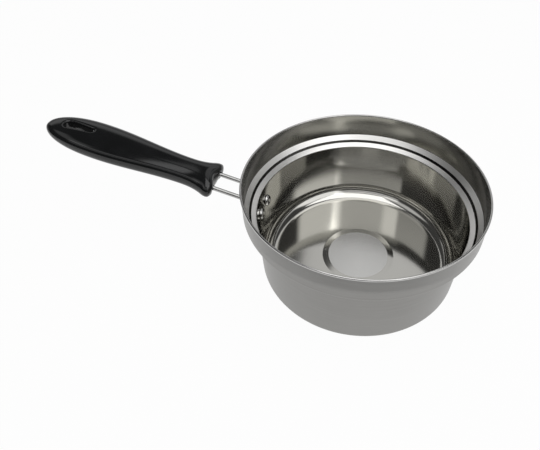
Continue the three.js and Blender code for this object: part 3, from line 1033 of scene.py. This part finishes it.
    def rivet(self, side: Side, trees: Trees, finishes: Finishes) -> None:
        """Turns one rivet and seats it in the wall.

        Args:
            side: which rivet.
            trees: the shared geometry trees.
            finishes: the object's materials.
        """
        label = side.name.lower()
        profile = self.rivet_profile()
        mesh = trees.turn(f"rivet_profile_{label}", profile, self.rivet_facets, finishes.rivet)
        mesh.transform(self.wall_frame(side))
        keep(f"rivet_head_{label}", mesh, Slot.BRIGHT_STEEL, f"rivet_{label}")

    def _eye_half(self, along: Array) -> Array:
        """Half width of the pressed eye.

        Args:
            along: distances up the wall from the rivet.

        Returns:
            The half width at each.
        """
        reach = math.acos((self.eye_radius - self.rod_radius) / self.eye_neck)
        low = self.eye_radius * math.cos(reach)
        high = self.eye_neck + self.rod_radius * math.cos(reach)
        low_half, high_half = self.eye_radius * math.sin(reach), self.rod_radius * math.sin(reach)
        neck = low_half + (high_half - low_half) * np.clip((along - low) / (high - low), 0.0, 1.0)
        round_end = np.sqrt(np.clip(self.eye_radius**2 - along**2, 0.0, None))
        half = np.where(along < low, round_end, neck)
        return np.where(along > high, self.rod_radius, np.maximum(half, self.eye_tip))

    def _route(self) -> tuple[Array, Array, Array]:
        """Route of a rod in its upright plane, from its pressed eye round the bend into the grip.

        Returns:
            Its points, the way out of the wall at each, and how far up the wall each is from the rivet.
        """
        tip = -self.eye_radius * np.cos(np.linspace(0.0, QUARTER, self.eye_steps))
        rising = np.concatenate([tip, np.linspace(0.0, self.climb, self.wall_steps)[1:]])
        plane = [self.foot + self.up_wall * s for s in rising]
        away = [self.off_wall] * len(rising)
        swing = QUARTER - self.rise - math.atan2(self.up_wall[0], self.up_wall[1])
        for angle in np.linspace(0.0, swing, self.bend_steps)[1:]:
            way = -self.off_wall * math.cos(angle) + self.up_wall * math.sin(angle)
            plane.append(self.bend_middle + way * self.rod_bend)
            away.append(-way)
        end = self.grip_front + self.outward * (self.socket_depth - self.gap)
        for share in np.linspace(0.0, 1.0, self.run_steps)[1:]:
            plane.append(self.bend_end * (1 - share) + end * share)
            away.append(-self.upward)
        travel = np.concatenate([rising, np.full(len(plane) - len(rising), math.inf)])
        return np.array(plane), np.array(away), travel

    def rod(self, side: Side, trees: Trees, finishes: Finishes) -> None:
        """Sweeps one rod along its route.

        Args:
            side: which rod.
            trees: the shared geometry trees.
            finishes: the object's materials.
        """
        plane, away, travel = self._route()
        pressed = eased(1.0 - np.clip((travel - self.press_from) / (self.climb - self.press_from), 0.0, 1.0))
        thick = self.rod_radius + (self.eye_thickness / 2 - self.rod_radius) * pressed
        middle = plane + (self.rod_radius - thick)[:, None] * -away
        y = -side.value * self.rod_spacing / 2
        spread = np.column_stack([-middle[:, 0], np.full(len(middle), y), middle[:, 1]])
        label = side.name.lower()
        seed = line_mesh(
            f"rod_route_{label}",
            spread,
            middle=spread * MM,
            out=np.column_stack([-away[:, 0], np.zeros(len(away)), away[:, 1]]),
            half_wide=self._eye_half(travel) * MM,
            half_thick=thick * MM,
            edge=1.0 - 0.5 * pressed,
        )
        across = (0.0, 1.0, 0.0)
        mesh = grown(seed, trees.pressed, Facets=self.rod_facets, Weld=WELD, Side=across, Finish=finishes.rod)
        mesh.set_sharp_from_angle(angle=self.sharp_angle)
        keep(f"rod_{label}", mesh, Slot.BRIGHT_STEEL, f"handle_rod_{label}")


class Loop:
    """An ordered ring of a mesh's edge vertices."""

    def __init__(self, verts: list[BMVert]) -> None:
        """Holds the vertices in order."""
        self.verts = verts

    @property
    def places(self) -> Array:
        """Places of the vertices seen from above, in millimetres."""
        return np.array([(v.co.x, v.co.y) for v in self.verts]) / MM

    @staticmethod
    def all_of(shaped: BMesh) -> list[Loop]:
        """Every open ring of a mesh.

        Args:
            shaped: the mesh.

        Returns:
            Its rings.
        """
        links: dict[BMVert, list[BMVert]] = {}
        for edge in shaped.edges:
            if edge.is_boundary:
                for one, other in (edge.verts, reversed(edge.verts)):
                    links.setdefault(one, []).append(other)
        loops, seen = [], set()
        for first in links:
            ring, onward = [], [first]
            while onward := [v for v in onward if v not in seen]:
                ring.append(onward[0])
                seen.add(onward[0])
                onward = links[onward[0]]
            if ring:
                loops.append(Loop(ring))
        return loops

    def wall(self, shaped: BMesh, rings: Sequence[Array], end: Loop | None = None) -> None:
        """Builds faces from this ring through further rings of places.

        Args:
            shaped: the mesh.
            rings: places of the further rings, in millimetres, with this ring's order and count.
            end: ring to close on, in the same order, or None to close with a cap.
        """
        rows = [self.verts] + [[shaped.verts.new(p) for p in ring * MM] for ring in rings]
        if end is not None:
            rows.append(end.verts)
        for low, high in zip(rows, rows[1:]):
            for i in range(len(low)):
                k = (i + 1) % len(low)
                shaped.faces.new((low[i], low[k], high[k], high[i]))
        if end is None:
            shaped.faces.new(rows[-1])


@dataclass
class Grip:
    """The moulded grip: hollowed front, neck, belly, rounded tail, socket, hanging slot and screw hole.

    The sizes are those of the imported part. After them come the rounds of the rims, the seat's edge as inset
    and drop, how the front's hollow fades, the depths of the socket's rings, and the counts of steps.
    """

    handle: Handle
    length: float = 135.5
    front_width: float = 40.5
    front_thickness: float = 17.6
    neck_at: float = 25.0
    neck_width: float = 24.9
    neck_thickness: float = 16.0
    belly_at: float = 90.0
    belly_width: float = 35.2
    belly_thickness: float = 17.6
    lobe_reach: float = 1.8
    lobe_round: float = 7.5
    lobe_corner: float = 8.0
    lip_round: float = 4.0
    front_hollow: float = 3.2
    hollow_reach: float = 13.0
    section_power: float = 2.35
    flare_power: float = 2.5
    tail_power: float = 2.4
    slot_tail_margin: float = 13.5
    slot_length: float = 23.0
    slot_tail_radius: float = 4.0
    slot_front_radius: float = 2.4
    screw_at: float = 32.0
    screw_hole_radius: float = 4.1
    screw_seat: float = 4.9
    slot_round: float = 2.2
    socket_round: float = 0.5
    screw_hole_round: float = 0.4
    seat_round: Pair = (0.2, 0.05)
    hollow_fade: float = 0.12
    hollow_left: float = 0.81
    hollow_run: float = 14.0
    floor_edge: float = 0.2
    socket_rings: Pair = (20.0, 6.0)
    socket_steps: int = 6
    face_steps: int = 7
    lobe_steps: int = 14
    slot_steps: int = 10
    slot_facets: int = 40
    hole_steps: int = 6
    hole_facets: int = 72
    cut_reach: float = 20.0
    weld: float = 2e-6
    facets: int = 96
    stations: int = 120

    def half(self, at: Array, front: float, neck: float, belly: float) -> Array:
        """Half of a width or thickness at distances from the front.

        Args:
            at: distances.
            front: whole size at the front.
            neck: whole size at the neck.
            belly: whole size at the belly.

        Returns:
            The half sizes.
        """
        at = np.maximum(0.0, np.asarray(at, float))
        flare = neck + (front - neck) * np.clip(1 - at / self.neck_at, 0.0, 1.0) ** self.flare_power
        swell = neck + (belly - neck) * eased((at - self.neck_at) / (self.belly_at - self.neck_at))
        back = np.clip((at - self.belly_at) / (self.length - self.belly_at), 0.0, 1.0)
        tail = belly * np.sqrt(1 - back**self.tail_power)
        return np.where(at < self.neck_at, flare, np.where(at < self.belly_at, swell, tail)) / 2

    def half_width(self, at: Array) -> Array:
        """Half width at distances from the front."""
        return self.half(at, self.front_width, self.neck_width, self.belly_width)

    def half_thick(self, at: Array) -> Array:
        """Half thickness at distances from the front."""
        return self.half(at, self.front_thickness, self.neck_thickness, self.belly_thickness)

    def top(self, spot: Array) -> Array:
        """Height of the upper surface over the rods' plane at (along, across) places."""
        share = np.clip(np.abs(spot[:, 1]) / self.half_width(spot[:, 0]), 0.0, 1.0) ** self.section_power
        return self.half_thick(spot[:, 0]) * (1 - share) ** (1 / self.section_power)

    def _ring(self, half_width: float, half_thick: float) -> Array:
        """Cross section of the grip.

        Args:
            half_width: half of its width.
            half_thick: half of its thickness.

        Returns:
            Superelliptic ring of (across, height) points.
        """
        angle = np.linspace(0.0, TURN, self.facets, endpoint=False)
        circle = np.column_stack([np.cos(angle), np.sin(angle)])
        return np.sign(circle) * np.abs(circle) ** (2 / self.section_power) * (half_width, half_thick)

    def _socket_ring(self, grow: float) -> Array:
        """Outline of the socket's mouth.

        Args:
            grow: how much larger it is made.

        Returns:
            Ring of (across, height) points, in the order of a cross section.
        """
        reach = self.handle.rod_spacing / 2
        radius = self.handle.rod_radius + self.handle.gap + grow
        angle = np.linspace(0.0, TURN, self.facets, endpoint=False)
        across = (reach + radius) * np.cos(angle)
        over = np.clip(np.abs(across) - reach, 0.0, radius)
        return np.column_stack([across, np.sign(np.sin(angle)) * np.sqrt(radius**2 - over**2)])

    def _placed(self, section: Array, at: float, dip: float) -> Array:
        """Places a cross section.

        Args:
            section: its (across, height) points.
            at: distance from the front.
            dip: share of the front's hollow that it follows.

        Returns:
            Ring of (along, across, height) points.
        """
        share = np.clip(np.abs(section[:, 0]) / self.hollow_reach, 0.0, 1.0)
        hollow = self.front_hollow * np.cos(share * QUARTER) ** 2
        return np.column_stack([at + hollow * dip, section])

    def rings(self) -> list[Array]:
        """Rings of the skin from the socket's floor out over the front and along to the tail.

        Returns:
            Rings of (along, across, height) places.
        """
        lip, floor = -self.lobe_reach, self.handle.socket_depth
        depths = (floor, floor - self.floor_edge, *self.socket_rings)
        made = [self._placed(self._socket_ring(0.0), depth, 0.0) for depth in depths]
        for swing in np.linspace(0.0, 1.0, self.socket_steps) * QUARTER:
            at = lip + self.socket_round * (1 - math.sin(swing))
            made.append(self._placed(self._socket_ring(self.socket_round * (1 - math.cos(swing))), at, 1.0))
        inner = self._socket_ring(self.socket_round)
        outer = self._ring(self.front_width / 2 - self.lobe_corner, self.front_thickness / 2 - self.lip_round)
        for share in np.linspace(0.0, 1.0, self.face_steps)[1:-1]:
            made.append(self._placed(inner * (1 - share) + outer * share, lip, 1.0))
        for swing in np.linspace(0.0, QUARTER, self.lobe_steps)[:-1]:
            at = lip + self.lobe_round * (1 - math.cos(swing))
            inset = 1 - math.sin(swing)
            wide, thick = self.lobe_corner * inset, self.lip_round * inset
            ring = self._ring(self.half_width(at) - wide, self.half_thick(at) - thick)
            made.append(self._placed(ring, at, 1.0 - self.hollow_fade * swing))
        start = lip + self.lobe_round
        for i in range(self.stations):
            at = start + (self.length - start) * math.sin(QUARTER * i / self.stations)
            dip = self.hollow_left * (1.0 - min(1.0, (at - start) / self.hollow_run)) ** 2
            made.append(self._placed(self._ring(self.half_width(at), self.half_thick(at)), at, dip))
        return made

    def _skin(self) -> Mesh:
        """Lofts the closed skin.

        Returns:
            The mesh in the grip's own frame.
        """
        rings = self.rings()
        ends = [(self.handle.socket_depth, 0.0, 0.0), (self.length, 0.0, 0.0)]
        points = np.concatenate([*rings, ends])
        count = self.facets
        last = (len(rings) - 1) * count
        faces: list[tuple[int, ...]] = []
        for i in range(count):
            k = (i + 1) % count
            faces += [(r + i, r + k, r + count + k, r + count + i) for r in range(0, last, count)]
            faces.append((len(points) - 2, k, i))
            faces.append((len(points) - 1, last + i, last + k))
        mesh = plain_mesh("grip_skin", points, [], faces)
        outwards(mesh)
        return mesh

    @property
    def _slot_ends(self) -> Pair:
        """Middles of the slot's tail and front rounds."""
        end = self.length - self.slot_tail_margin
        return end - self.slot_tail_radius, end - self.slot_length + self.slot_front_radius

    def _slot_way(self, place: Array) -> Array:
        """Outward direction of the slot's outline.

        Args:
            place: (along, across) place near the outline.

        Returns:
            The direction as a unit vector.
        """
        tail, front = self._slot_ends
        lean = (self.slot_tail_radius - self.slot_front_radius) / (tail - front)
        way = np.array((-lean, math.sqrt(1 - lean**2)))
        run = np.array((way[1], -way[0]))
        mirrored = np.array((place[0], abs(place[1])))
        if (mirrored - (tail, 0.0)) @ run > 0:
            way = unit(mirrored - (tail, 0.0))
        elif (mirrored - (front, 0.0)) @ run < 0:
            way = unit(mirrored - (front, 0.0))
        return np.array((way[0], math.copysign(way[1], place[1])))

    def _slot_outline(self) -> Array:
        """Outline of the slot at its rounded rim.

        Returns:
            Ring of (along, across) points.
        """
        (tail, front), grow, count = self._slot_ends, self.slot_round, self.slot_facets
        lean = math.acos((self.slot_tail_radius - self.slot_front_radius) / (tail - front))
        ends = [
            arc((tail, 0.0), self.slot_tail_radius + grow, lean - math.pi, math.pi - lean, count),
            arc((front, 0.0), self.slot_front_radius + grow, math.pi - lean, math.pi + lean, count),
        ]
        return np.concatenate(ends)

    @staticmethod
    def _prism(name: str, outline: Array, low: float, high: float) -> Object:
        """Makes an upright cutter.

        Args:
            name: its name, and its material's.
            outline: its (along, across) outline.
            low: height of its foot.
            high: height of its top.

        Returns:
            The cutter.
        """
        count = len(outline)
        points = [(x, y, z) for z in (low, high) for x, y in outline]
        faces: list[tuple[int, ...]] = [tuple(range(count))[::-1], tuple(range(count, 2 * count))]
        faces += [(i, (i + 1) % count, count + (i + 1) % count, count + i) for i in range(count)]
        mesh = plain_mesh(name, points, [], faces)
        mesh.materials.append(bpy.data.materials.new(name))
        return placed(name, mesh)

    def _cut(self, skin: Mesh) -> Mesh:
        """Cuts the slot and the screw hole into the skin.

        Args:
            skin: the closed skin.

        Returns:
            The cut mesh, with the cuts' walls in the cutters' materials.
        """
        skin.materials.append(bpy.data.materials.new("grip_skin"))
        host = placed("grip_host", skin)
        radius = self.screw_hole_radius + self.screw_hole_round
        hole = arc((self.screw_at, 0.0), radius, 0.0, TURN, self.hole_facets)[:-1]
        cutters = [
            self._prism("slot_cutter", self._slot_outline(), -self.cut_reach, self.cut_reach),
            self._prism("hole_cutter", hole, -self.cut_reach, -self.screw_seat),
        ]
        for cutter in cutters:
            modifier = host.modifiers.new(cutter.name, "BOOLEAN")
            modifier.operation = "DIFFERENCE"
            modifier.solver = "EXACT"
            modifier.material_mode = "TRANSFER"
            modifier.object = cutter
        mesh = settled(host)
        for cutter in cutters:
            bpy.data.objects.remove(cutter)
        return mesh

    def build(self, finishes: Finishes) -> None:
        """Lofts the skin, cuts it and rounds the cuts' rims.

        Args:
            finishes: the object's materials.
        """
        mesh = self._cut(self._skin())
        cut = {i for i, m in enumerate(mesh.materials) if m is not None and m.name.endswith("_cutter")}
        shaped = bmesh.new()
        shaped.from_mesh(mesh)
        walls = [f for f in shaped.faces if f.material_index in cut]
        bmesh.ops.delete(shaped, geom=walls, context="FACES")
        bmesh.ops.remove_doubles(shaped, verts=shaped.verts, dist=self.weld)
        loops = Loop.all_of(shaped)
        slot_from = self._slot_ends[1] - self.slot_front_radius - 2 * self.slot_round
        slots = [l for l in loops if l.verts[0].co.x / MM > slot_from]
        LOG.info("grip: %d open rims of %s points", len(loops), [len(l.verts) for l in loops])
        self._round_slot(shaped, slots)
        self._sink_hole(shaped, next(l for l in loops if l not in slots))
        bmesh.ops.recalc_face_normals(shaped, faces=shaped.faces)
        heights = shaped.verts.layers.float.new("mould_height")
        for vert in shaped.verts:
            vert[heights] = vert.co.z / MM
        for face in shaped.faces:
            face.smooth = True
            face.material_index = 0
        shaped.to_mesh(mesh)
        shaped.free()
        mesh.transform(self.handle.grip_frame())
        mesh.materials.clear()
        mesh.materials.append(finishes.phenolic)
        keep("moulded_grip", mesh, Slot.BLACK_PHENOLIC, "grip")

    def _round_slot(self, shaped: BMesh, loops: list[Loop]) -> None:
        """Rounds the slot's two rims and joins them by its wall.

        Args:
            shaped: the cut skin.
            loops: the two open rims.
        """
        upper = next(l for l in loops if l.verts[0].co.z > 0)
        lower = next(l for l in loops if l.verts[0].co.z < 0)
        free, partners = list(lower.verts), []
        for vert in upper.verts:
            partners.append(min(free, key=lambda v: (v.co.xy - vert.co.xy).length_squared))
            free.remove(partners[-1])
        places = upper.places
        ways = np.array([self._slot_way(p) for p in places])
        rims = []
        for swing in np.linspace(0.0, QUARTER, self.slot_steps)[1:]:
            spot = places - ways * (self.slot_round * math.sin(swing))
            drop = self.slot_round * (1 - math.cos(swing))
            rims.append(np.column_stack([spot, self.top(spot) - drop]))
        under = [rim * (1.0, 1.0, -1.0) for rim in reversed(rims)]
        upper.wall(shaped, rims + under, Loop(partners))

    def _sink_hole(self, shaped: BMesh, rim: Loop) -> None:
        """Rounds the screw hole's rim and runs its wall up to the seat.

        Args:
            shaped: the cut skin.
            rim: the open rim.
        """
        middle = np.array((self.screw_at, 0.0))
        ways = np.array([unit(p - middle) for p in rim.places])
        rings = []
        for swing in np.linspace(0.0, QUARTER, self.hole_steps)[1:]:
            spot = middle + ways * (self.screw_hole_radius + self.screw_hole_round * (1 - math.sin(swing)))
            rise = self.screw_hole_round * (1 - math.cos(swing))
            rings.append(np.column_stack([spot, rise - self.top(spot)]))
        seat = self.screw_seat - self.half_thick(self.screw_at)
        for inset, drop in zip((0.0, self.seat_round[0]), (self.seat_round[1], 0.0)):
            spot = middle + ways * (self.screw_hole_radius - inset)
            rings.append(np.column_stack([spot, np.full(len(spot), seat - drop)]))
        rim.wall(shaped, rings)


@dataclass
class Fastening:
    """Bridge plate, screw and washer in the grip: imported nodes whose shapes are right, in a better finish."""

    nodes: tuple[str, ...] = ("bridge_plate", "grip_screw", "screw_washer")

    def dress(self, finishes: Finishes) -> None:
        """Gives the nodes their finish.

        Args:
            finishes: the object's materials.
        """
        for name in self.nodes:
            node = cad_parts[name]
            node.data.materials.clear()
            node.data.materials.append(finishes.zinc)
            LOG.info("node %s dressed", name)


@dataclass(frozen=True)
class SoftPanel:
    """A soft light far from the pan, as a patch of the room with faded edges.

    Attributes:
        bearing: middle, in degrees from +Y towards +X.
        elevation: middle, in degrees above the floor.
        width: full width of the patch in degrees of bearing.
        height: full height of the patch in degrees.
        fade: width of the faded edge in degrees.
        strength: radiance.
    """

    bearing: float
    elevation: float
    width: float
    height: float
    fade: float
    strength: float

    def light(self, bearing: Wire, elevation: Wire) -> Wire:
        """Radiance of the panel over the room.

        Args:
            bearing: bearing of the ray in degrees.
            elevation: elevation of the ray in degrees.

        Returns:
            The radiance as a wire.
        """
        turn = (bearing - (self.bearing - 180.0)).math("FLOORED_MODULO", 360.0) - 180.0
        masks = [
            1.0 - abs(off).step((size - self.fade) / 2, (size + self.fade) / 2)
            for off, size in ((turn, self.width), (elevation - self.elevation, self.height))
        ]
        return masks[0] * masks[1] * self.strength


@dataclass(frozen=True)
class Softbox:
    """A soft square light close to the pan.

    Attributes:
        name: the lamp's name.
        place: its middle in millimetres.
        aim: the point that it faces, in millimetres.
        size: its width and height in millimetres.
        radiance: brightness of its face.
    """

    name: str
    place: Triple
    aim: Triple
    size: Pair
    radiance: float

    def build(self) -> None:
        """Hangs the lamp."""
        lamp = bpy.data.lights.new(self.name, "AREA")
        lamp.shape = "RECTANGLE"
        lamp.size, lamp.size_y = (side * MM for side in self.size)
        lamp.energy = self.radiance * math.pi * lamp.size * lamp.size_y
        made = placed(self.name, lamp)
        made.location = Vector(self.place) * MM
        ahead = Vector(self.aim) - Vector(self.place)
        made.rotation_euler = ahead.to_track_quat("-Z", "Y").to_euler()


@dataclass(frozen=True)
class PhotoCamera:
    """Camera solved from the photograph's rim, ledges and outline.

    Attributes:
        place: its place in millimetres.
        yaw, pitch, roll: its angles in degrees.
        focal: focal length in pixels.
        middle: principal point in pixels.
        sensor: width of the sensor in millimetres.
        nearest: nearest distance that it shows, in metres.
    """

    place: Triple = (14.925, -268.064, 303.407)
    yaw: float = -8.630
    pitch: float = -39.767
    roll: float = -2.432
    focal: float = 473.88
    middle: Pair = (330.86, 179.69)
    sensor: float = 36.0
    nearest: float = 0.01

    def build(self) -> None:
        """Sets up the scene's camera."""
        lens = bpy.data.cameras.new("photo_camera")
        lens.sensor_width = self.sensor
        lens.sensor_fit = "HORIZONTAL"
        lens.lens = self.focal / PHOTO_WIDTH * self.sensor
        lens.shift_x = (PHOTO_WIDTH / 2 - self.middle[0]) / PHOTO_WIDTH
        lens.shift_y = (self.middle[1] - PHOTO_HEIGHT / 2) / PHOTO_WIDTH
        lens.clip_start = self.nearest
        yaw, pitch, roll = (math.radians(angle) for angle in (self.yaw, self.pitch, self.roll))
        ahead = Vector((math.sin(yaw) * math.cos(pitch), math.cos(yaw) * math.cos(pitch), math.sin(pitch)))
        level = ahead.to_track_quat("-Z", "Y").to_matrix().to_4x4()
        made = placed("photo_camera", lens)
        spot = Matrix.Translation(Vector(self.place) * MM)
        made.matrix_world = spot @ level @ Matrix.Rotation(-roll, 4, "Z")
        bpy.context.scene.camera = made


@dataclass
class Studio:
    """Floor, soft lights and the photograph's camera.

    Attributes:
        floor_size: width of the floor in millimetres.
        floor_drop: how far it lies under the base.
        floor_colour: its colour.
        floor_glow: share of plain white in what the eye and mirrors see of it.
        room: radiance of the room between the panels.
        panels: the soft panels of the room.
        softboxes: the lamps.
        camera: the photograph's camera.
    """

    floor_size: float = 8000.0
    floor_drop: float = 0.2
    floor_colour: Triple = (0.86, 0.86, 0.86)
    floor_glow: float = 0.97
    room: float = 0.06
    panels: tuple[SoftPanel, ...] = (
        SoftPanel(0.0, 5.0, 190.0, 24.0, 10.0, 0.3),
        SoftPanel(10.0, 28.0, 150.0, 16.0, 8.0, 0.56),
        SoftPanel(180.0, 36.0, 80.0, 8.0, 3.0, 0.7),
        SoftPanel(115.0, 40.0, 60.0, 36.0, 12.0, 1.2),
        SoftPanel(180.0, 49.0, 90.0, 10.0, 6.0, 0.9),
        SoftPanel(-120.0, 56.0, 70.0, 20.0, 10.0, 0.6),
    )
    softboxes: tuple[Softbox, ...] = (
        Softbox("softbox_over", (70.0, -50.0, 600.0), (70.0, -50.0, 0.0), (430.0, 450.0), 1.75),
        Softbox("softbox_far", (5.0, 470.0, 650.0), (0.0, 0.0, 0.0), (350.0, 420.0), 0.64),
    )
    camera: PhotoCamera = PhotoCamera()

    def build(self) -> None:
        """Makes the stage, the lights, the world and the camera."""
        self._floor()
        for softbox in self.softboxes:
            softbox.build()
        self._world()
        self.camera.build()
        bpy.context.scene.view_settings.view_transform = "Standard"

    @staticmethod
    def _seen(bench: Bench, *rays: str) -> Wire:
        """1 for a ray of the named kinds, which see plain white, and 0 for the others."""
        first, *others = (bench.node("ShaderNodeLightPath", out=f"Is {ray} Ray") for ray in rays)
        return sum(others, first).math("MINIMUM", 1.0)

    def _floor(self) -> None:
        """Plain pale floor, mostly plain white to the eye and to mirrors, which keeps the shadow."""
        half = self.floor_size / 2
        corners = ((-half, -half), (half, -half), (half, half), (-half, half))
        mesh = plain_mesh("floor", [(x, y, -self.floor_drop) for x, y in corners], [], [(0, 1, 2, 3)])
        made = bpy.data.materials.new("pale_floor")
        bench = Bench.of(made)
        paper = bench.node("ShaderNodeBsdfDiffuse", {"Color": (*self.floor_colour, 1.0)})
        white = bench.node("ShaderNodeEmission", {"Strength": 1.0})
        seen = self._seen(bench, "Camera", "Glossy", "Transmission")
        mixed = bench.node("ShaderNodeMixShader", {0: seen * self.floor_glow, 1: paper, 2: white})
        bench.sink("ShaderNodeOutputMaterial", mixed)
        mesh.materials.append(made)
        floor = placed("floor", mesh)

    def _world(self) -> None:
        """Dim room with soft panels, which is plain white to the eye."""
        world = bpy.data.worlds.new("soft_room")
        bench = Bench.of(world)
        x, y, z = bench.split(bench.node("ShaderNodeTexCoord", out="Generated"))
        bearing = x.math("ARCTAN2", y) * math.degrees(1.0)
        elevation = z.math("ARCSINE") * math.degrees(1.0)
        light = sum((panel.light(bearing, elevation) for panel in self.panels), self.room)
        strength = light + (1.0 - light) * self._seen(bench, "Camera", "Transmission")
        inputs = {"Color": (1.0, 1.0, 1.0, 1.0), "Strength": strength}
        bench.sink("ShaderNodeOutputWorld", bench.node("ShaderNodeBackground", inputs))
        bpy.context.scene.world = world


def main() -> None:
    """Builds the pan, the handle, the grip and the studio."""
    logging.basicConfig(level=logging.INFO, format="%(name)s: %(message)s")
    finishes = Finishes()
    trees = Trees()
    shell = PotShell()
    shell.build(trees, finishes)
    handle = Handle(shell)
    for side in Side:
        handle.rivet(side, trees, finishes)
        handle.rod(side, trees, finishes)
    Grip(handle).build(finishes)
    Fastening().dress(finishes)
    Studio().build()
    bpy.context.view_layer.update()


if __name__ == "__main__":
    main()
